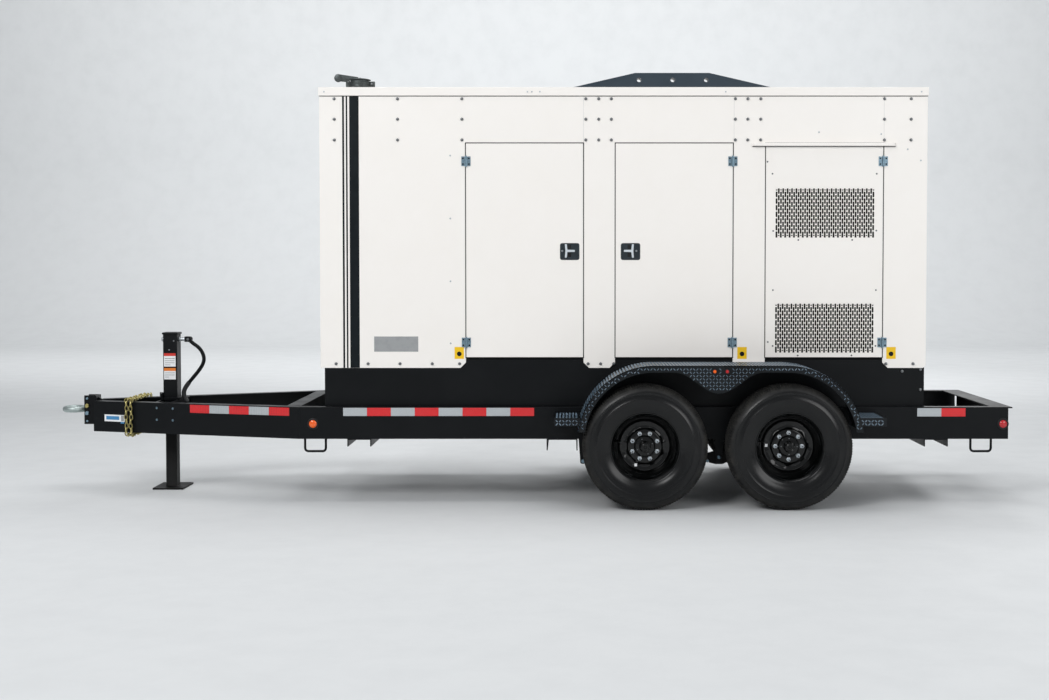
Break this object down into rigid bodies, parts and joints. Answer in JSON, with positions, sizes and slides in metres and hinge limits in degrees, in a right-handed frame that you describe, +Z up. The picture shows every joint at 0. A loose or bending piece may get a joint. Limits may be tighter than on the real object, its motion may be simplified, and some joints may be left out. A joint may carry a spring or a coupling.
{
  "type": "towable diesel generator",
  "caption": "Sound-proof white canopy with side doors, grilles and roof lifting beam on a black tandem-axle trailer with tongue, jack and towing eye.",
  "frame": {"origin": "centre of the bounding box at ground level", "axes": "+X from the towing eye to the rear end, +Z up, -Y is the trailer's left side"},
  "size_m": [6.246, 1.9, 2.794],
  "materials": {
    "frame_black": "semi-gloss black paint",
    "canopy_white": "off-white powder coat",
    "wheel_black": "gloss black paint",
    "roof_slate": "slate blue-grey paint",
    "zinc": "bright zinc plate",
    "gold_zinc": "yellow zinc plate",
    "tread": "blue-black paint on treadplate and folded sheet",
    "rubber": "worn matt black tyre rubber",
    "exhaust_steel": "dull coated steel pipe, weighed as a light shell",
    "rain_cap_steel": "dull coated cast steel",
    "engine_grey": "light grey engine paint",
    "alternator_blue": "blue enamel",
    "radiator_core": "matt black core and shroud",
    "plastic_black": "black moulded plastic",
    "battery_black": "black battery case",
    "panel_grey": "grey control cabinet",
    "stop_red": "red mushroom cap"
  },
  "bodies": {
    "chassis": {"frame_rail_left": "frame_black", "frame_rail_right": "frame_black", "crossmember_front": "frame_black", "crossmember_middle": "frame_black", "crossmember_rear": "frame_black", "rear_end_plate": "frame_black", "tongue": "frame_black", "coupler_mount": "frame_black", "towing_eye": "zinc", "jack_tube": "frame_black", "safety_chain_left": "gold_zinc", "safety_chain_right": "gold_zinc", "fender_left": "tread", "fender_right": "tread", "fuel_tank_base": "frame_black", "side_panel_left": "canopy_white", "side_panel_right": "canopy_white", "front_panel": "canopy_white", "rear_panel": "canopy_white", "roof": "canopy_white", "lifting_beam": "roof_slate", "exhaust": "exhaust_steel", "radiator": "radiator_core", "engine": "engine_grey", "alternator": "alternator_blue", "battery": "battery_black", "control_panel": "panel_grey"},
    "axle_front": {"axle_front": "frame_black", "leaf_spring_front_left": "frame_black", "leaf_spring_front_right": "frame_black"},
    "axle_rear": {"axle_rear": "frame_black", "leaf_spring_rear_left": "frame_black", "leaf_spring_rear_right": "frame_black"},
    "equalizer_left": {"equalizer_left": "frame_black"},
    "equalizer_right": {"equalizer_right": "frame_black"},
    "wheel_front_left": {"wheel_front_left": "wheel_black", "tyre_front_left": "rubber"},
    "wheel_front_right": {"wheel_front_right": "wheel_black", "tyre_front_right": "rubber"},
    "wheel_rear_left": {"wheel_rear_left": "wheel_black", "tyre_rear_left": "rubber"},
    "wheel_rear_right": {"wheel_rear_right": "wheel_black", "tyre_rear_right": "rubber"},
    "jack_leg": {"jack_leg": "frame_black"},
    "crank_shaft": {"crank_shaft": "zinc"},
    "crank_handle": {"crank_handle": "frame_black"},
    "control_door": {"control_door": "canopy_white"},
    "rain_cap": {"rain_cap": "rain_cap_steel"},
    "fan": {"fan": "plastic_black"},
    "stop_button": {"stop_button": "stop_red"},
    "door_front_left": {"door_front_left": "canopy_white"},
    "door_front_right": {"door_front_right": "canopy_white"},
    "door_middle_left": {"door_middle_left": "canopy_white"},
    "door_middle_right": {"door_middle_right": "canopy_white"},
    "door_rear_left": {"door_rear_left": "canopy_white"},
    "door_rear_right": {"door_rear_right": "canopy_white"},
    "latch_front_left": {"latch_front_left": "zinc"},
    "latch_front_right": {"latch_front_right": "zinc"},
    "latch_middle_left": {"latch_middle_left": "zinc"},
    "latch_middle_right": {"latch_middle_right": "zinc"}
  },
  "joints": [
    {"name": "axle_front_swing", "type": "hinge", "parent": "chassis", "child": "axle_front", "pos_m": [0.4, 0, 0.262], "axis": [0, 1, 0], "range_deg": [-1.5, 1.5]},
    {"name": "axle_rear_swing", "type": "hinge", "parent": "chassis", "child": "axle_rear", "pos_m": [2.045, 0, 0.262], "axis": [0, 1, 0], "range_deg": [-1.3, 1.3]},
    {"name": "equalizer_left_rock", "type": "hinge", "parent": "chassis", "child": "equalizer_left", "pos_m": [1.262, -0.577, 0.288], "axis": [0, 1, 0], "range_deg": [-12.5, 12.5]},
    {"name": "equalizer_right_rock", "type": "hinge", "parent": "chassis", "child": "equalizer_right", "pos_m": [1.262, 0.577, 0.288], "axis": [0, 1, 0], "range_deg": [-12.5, 12.5]},
    {"name": "wheel_front_left_spin", "type": "hinge", "parent": "axle_front", "child": "wheel_front_left", "pos_m": [0.778, 0, 0.387], "axis": [0, 1, 0], "continuous": true},
    {"name": "wheel_front_right_spin", "type": "hinge", "parent": "axle_front", "child": "wheel_front_right", "pos_m": [0.778, 0, 0.387], "axis": [0, 1, 0], "continuous": true},
    {"name": "wheel_rear_left_spin", "type": "hinge", "parent": "axle_rear", "child": "wheel_rear_left", "pos_m": [1.667, 0, 0.387], "axis": [0, 1, 0], "continuous": true},
    {"name": "wheel_rear_right_spin", "type": "hinge", "parent": "axle_rear", "child": "wheel_rear_right", "pos_m": [1.667, 0, 0.387], "axis": [0, 1, 0], "continuous": true},
    {"name": "jack_leg_slide", "type": "slide", "parent": "chassis", "child": "jack_leg", "axis": [0, 0, 1], "range_m": [-0.05, 0.36]},
    {"name": "crank_spin", "type": "hinge", "parent": "chassis", "child": "crank_shaft", "pos_m": [-2.382, 0, 1.005], "axis": [1, 0, 0], "continuous": true},
    {"name": "crank_fold", "type": "hinge", "parent": "crank_shaft", "child": "crank_handle", "pos_m": [-2.268, 0, 1.005], "axis": [0, -1, 0], "range_deg": [0, 90]},
    {"name": "door_front_left_hinge", "type": "hinge", "parent": "chassis", "child": "door_front_left", "pos_m": [-0.345, -0.5575, 1.6], "axis": [0, 0, -1], "range_deg": [0, 110]},
    {"name": "door_middle_left_hinge", "type": "hinge", "parent": "chassis", "child": "door_middle_left", "pos_m": [1.35, -0.5575, 1.6], "axis": [0, 0, 1], "range_deg": [0, 110]},
    {"name": "door_rear_left_hinge", "type": "hinge", "parent": "chassis", "child": "door_rear_left", "pos_m": [2.305, -0.5575, 1.6], "axis": [0, 0, 1], "range_deg": [0, 110]},
    {"name": "latch_front_left_pull", "type": "hinge", "parent": "door_front_left", "child": "latch_front_left", "pos_m": [0.347, -0.558, 1.596], "axis": [0, 0, 1], "range_deg": [0, 80]},
    {"name": "latch_middle_left_pull", "type": "hinge", "parent": "door_middle_left", "child": "latch_middle_left", "pos_m": [0.658, -0.558, 1.596], "axis": [0, 0, -1], "range_deg": [0, 80]},
    {"name": "door_front_right_hinge", "type": "hinge", "parent": "chassis", "child": "door_front_right", "pos_m": [-0.345, 0.5575, 1.6], "axis": [0, 0, 1], "range_deg": [0, 110]},
    {"name": "door_middle_right_hinge", "type": "hinge", "parent": "chassis", "child": "door_middle_right", "pos_m": [1.35, 0.5575, 1.6], "axis": [0, 0, -1], "range_deg": [0, 110]},
    {"name": "door_rear_right_hinge", "type": "hinge", "parent": "chassis", "child": "door_rear_right", "pos_m": [2.305, 0.5575, 1.6], "axis": [0, 0, -1], "range_deg": [0, 110]},
    {"name": "latch_front_right_pull", "type": "hinge", "parent": "door_front_right", "child": "latch_front_right", "pos_m": [0.347, 0.558, 1.596], "axis": [0, 0, -1], "range_deg": [0, 80]},
    {"name": "latch_middle_right_pull", "type": "hinge", "parent": "door_middle_right", "child": "latch_middle_right", "pos_m": [0.658, 0.558, 1.596], "axis": [0, 0, 1], "range_deg": [0, 80]},
    {"name": "control_door_hinge", "type": "hinge", "parent": "chassis", "child": "control_door", "pos_m": [2.5935, -0.44, 1.86], "axis": [0, 0, -1], "range_deg": [0, 110]},
    {"name": "rain_cap_hinge", "type": "hinge", "parent": "chassis", "child": "rain_cap", "pos_m": [-1.176, 0, 2.746], "axis": [0, -1, 0], "range_deg": [0, 60]},
    {"name": "fan_spin", "type": "hinge", "parent": "chassis", "child": "fan", "pos_m": [-0.385, 0, 1.43], "axis": [1, 0, 0], "continuous": true},
    {"name": "stop_button_push", "type": "slide", "parent": "chassis", "child": "stop_button", "axis": [-1, 0, 0], "range_m": [0, 0.006], "stiffness_N_per_m": 800}
  ],
  "couplings": [
    {"joint": "axle_rear_swing", "follows": "axle_front_swing", "ratio": 0.827},
    {"joint": "equalizer_left_rock", "follows": "axle_front_swing", "ratio": -8.07},
    {"joint": "equalizer_right_rock", "follows": "axle_front_swing", "ratio": -8.07}
  ]
}
